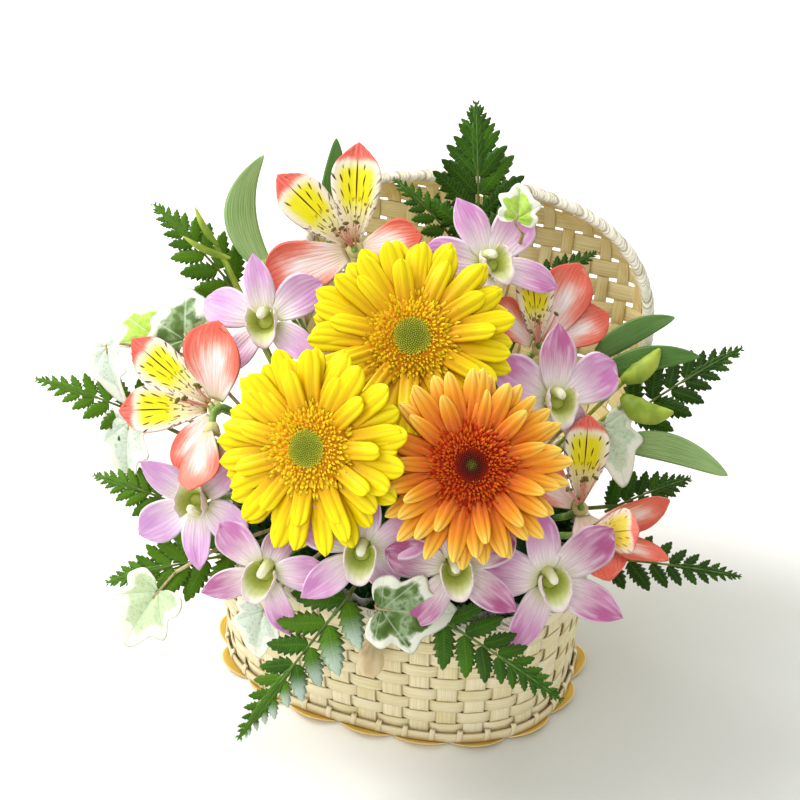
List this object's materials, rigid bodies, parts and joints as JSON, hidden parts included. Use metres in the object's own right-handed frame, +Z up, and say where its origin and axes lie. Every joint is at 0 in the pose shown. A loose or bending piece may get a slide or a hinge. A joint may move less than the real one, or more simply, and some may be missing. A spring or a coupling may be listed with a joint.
{
  "type": "flower basket arrangement",
  "caption": "Lidded oval woven basket, lid open at the back, filled with cut flowers, fern and ivy that stand in floral foam and face the front right.",
  "frame": {"origin": "centre of the basket's flat underside, on the surface it stands on", "axes": "+Z up, +X along the oval's length to the right, the bead side toward -Y and the lid toward +Y"},
  "size_m": [0.3578, 0.2854, 0.27],
  "materials": {
    "bamboo": "raw pale bamboo splints, plain weave",
    "bamboo_binding": "raw pale bamboo splint, wrapped",
    "bead_wood": "smooth waxed wood",
    "film": "clear thin film",
    "foam": "soaked floral foam",
    "petal_yellow": "matt petal, yellow",
    "petal_orange": "matt petal, orange, redder at its base",
    "eye_gold": "florets, golden with a green eye",
    "eye_red": "florets, dark red with a green eye",
    "petal_coral": "satin petal, coral to cream, two streaked yellow",
    "petal_lavender": "satin petal, lavender with a pale throat",
    "stem": "fresh green stem",
    "bud": "smooth green bud",
    "ivy": "leaf, grey green edged with cream",
    "fern": "dark leathery frond"
  },
  "bodies": {
    "basket": {"basket_body": "bamboo", "basket_rim": "bamboo_binding", "basket_foot": "bamboo_binding", "basket_loops": "bamboo_binding", "hinge_ring_left": "bamboo_binding", "hinge_ring_right": "bamboo_binding", "bead": "bead_wood", "bead_tie": "bamboo_binding", "liner_film": "film", "floral_foam": "foam", "gerbera_top_rays": "petal_yellow", "gerbera_top_disc": "eye_gold", "gerbera_top_stem": "stem", "gerbera_left_rays": "petal_yellow", "gerbera_left_disc": "eye_gold", "gerbera_left_stem": "stem", "gerbera_orange_rays": "petal_orange", "gerbera_orange_disc": "eye_red", "gerbera_orange_stem": "stem", "alstroemeria_upper_left": "petal_coral", "alstroemeria_left_open": "petal_coral", "alstroemeria_left_half_open": "petal_coral", "alstroemeria_back_right": "petal_coral", "alstroemeria_right_open": "petal_coral", "alstroemeria_right_side": "petal_coral", "orchid_upper_left": "petal_lavender", "orchid_top_right": "petal_lavender", "orchid_right": "petal_lavender", "orchid_left": "petal_lavender", "orchid_front_left": "petal_lavender", "orchid_front_middle": "petal_lavender", "orchid_front_right": "petal_lavender", "orchid_low_right": "petal_lavender", "buds_right": "bud", "buds_upper_left": "bud", "ivy_left": "ivy", "ivy_left_low": "ivy", "ivy_corner": "ivy", "ivy_front": "ivy", "ivy_front_left": "ivy", "ivy_right": "ivy", "ivy_top": "ivy", "fern_top": "fern", "fern_upper_left": "fern", "fern_left": "fern", "fern_left_low": "fern", "fern_left_inner": "fern", "fern_lower_left": "fern", "fern_front_left": "fern", "fern_front_right": "fern", "fern_right": "fern", "fern_right_middle": "fern", "fern_lower_right": "fern", "fern_lid_right": "fern", "fern_lid_left": "fern"},
    "lid": {"lid_panel": "bamboo", "lid_rim": "bamboo_binding"}
  },
  "joints": [
    {"name": "lid_hinge", "type": "hinge", "parent": "basket", "child": "lid", "pos_m": [0, 0.075, 0.0865], "axis": [1, 0, 0], "range_deg": [-55, 0]}
  ]
}
